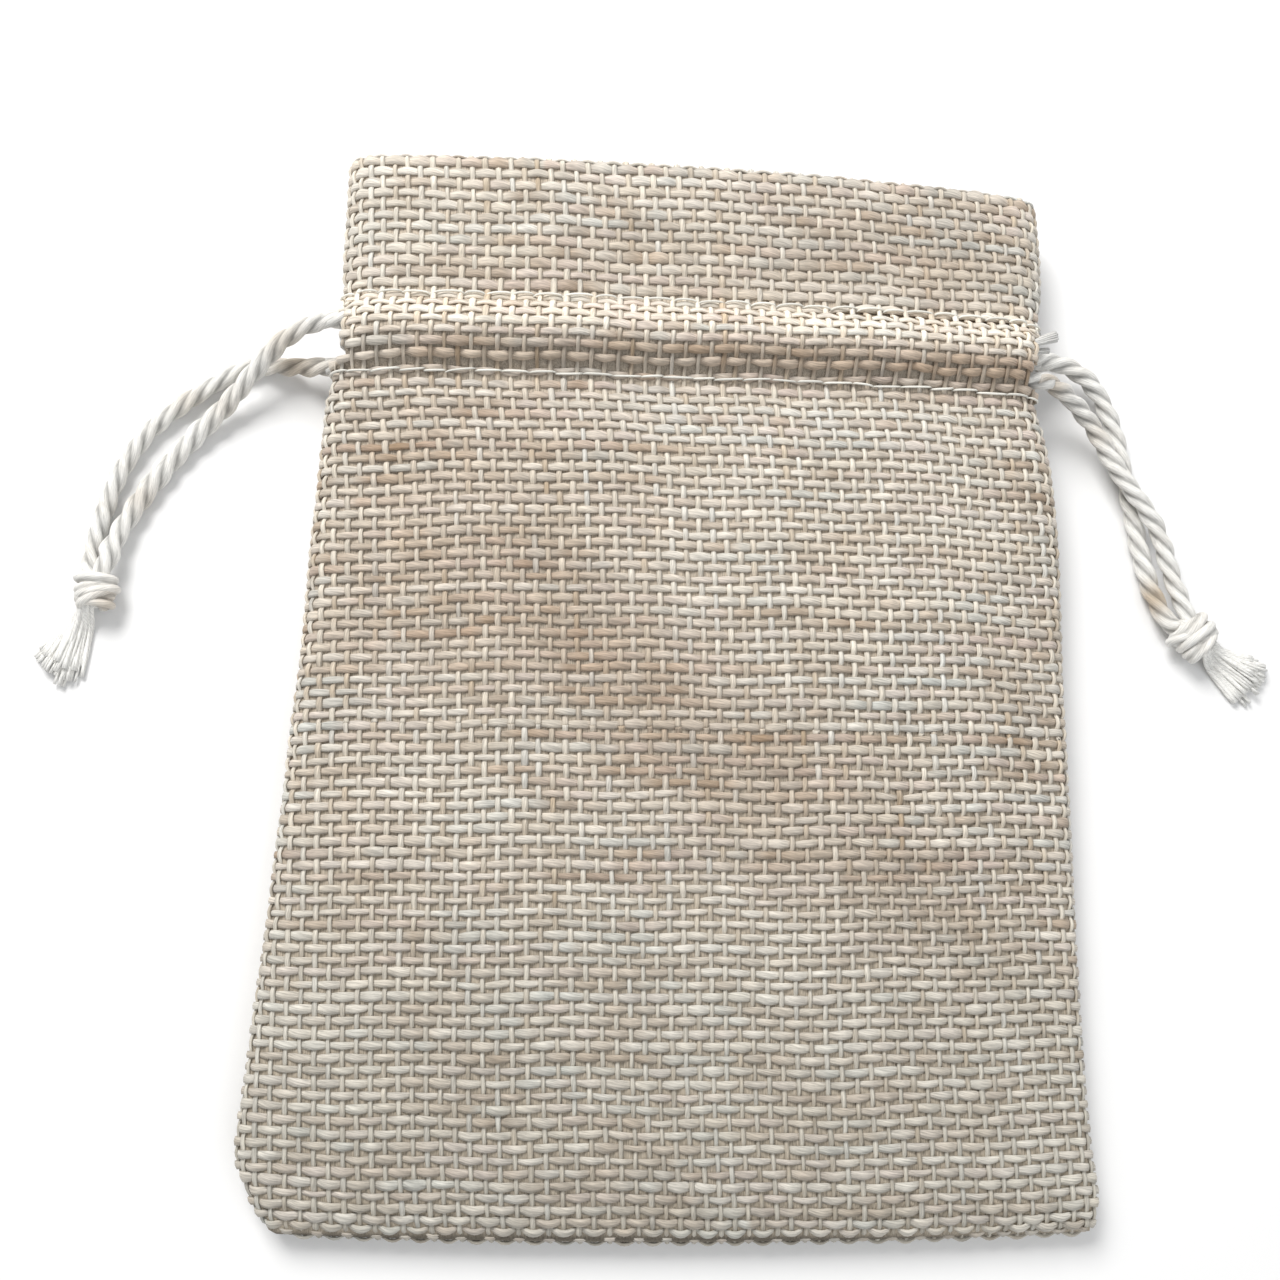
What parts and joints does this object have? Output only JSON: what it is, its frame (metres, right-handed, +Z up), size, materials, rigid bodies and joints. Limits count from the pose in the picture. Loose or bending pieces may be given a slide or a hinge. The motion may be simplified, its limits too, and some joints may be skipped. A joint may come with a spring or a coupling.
{
  "type": "burlap sack",
  "caption": "Small burlap drawstring pouch lying flat: deep hem with a stitched casing, two twisted cotton drawcords, each knotted and ending in a frayed tassel.",
  "frame": {"origin": "middle of the flat sack's own box in X and Y, without its cords, knots and tassels, on the surface that it lies on", "axes": "+Y from the bottom fold to the mouth, +X to the right seen from above with the mouth away from the viewer, +Z up, from the back that it lies on to the front"},
  "size_m": [0.1574, 0.1345, 0.015],
  "materials": {
    "burlap": "matt plain weave, beige with cream and brown yarns",
    "cotton_cord": "matt three-ply twisted cotton, off-white"
  },
  "bodies": {
    "root": {"sack_cloth": "burlap", "drawcord_left": "cotton_cord", "drawcord_right": "cotton_cord", "knot_left": "cotton_cord", "knot_right": "cotton_cord", "tassel_left": "cotton_cord", "tassel_right": "cotton_cord"}
  },
  "joints": []
}
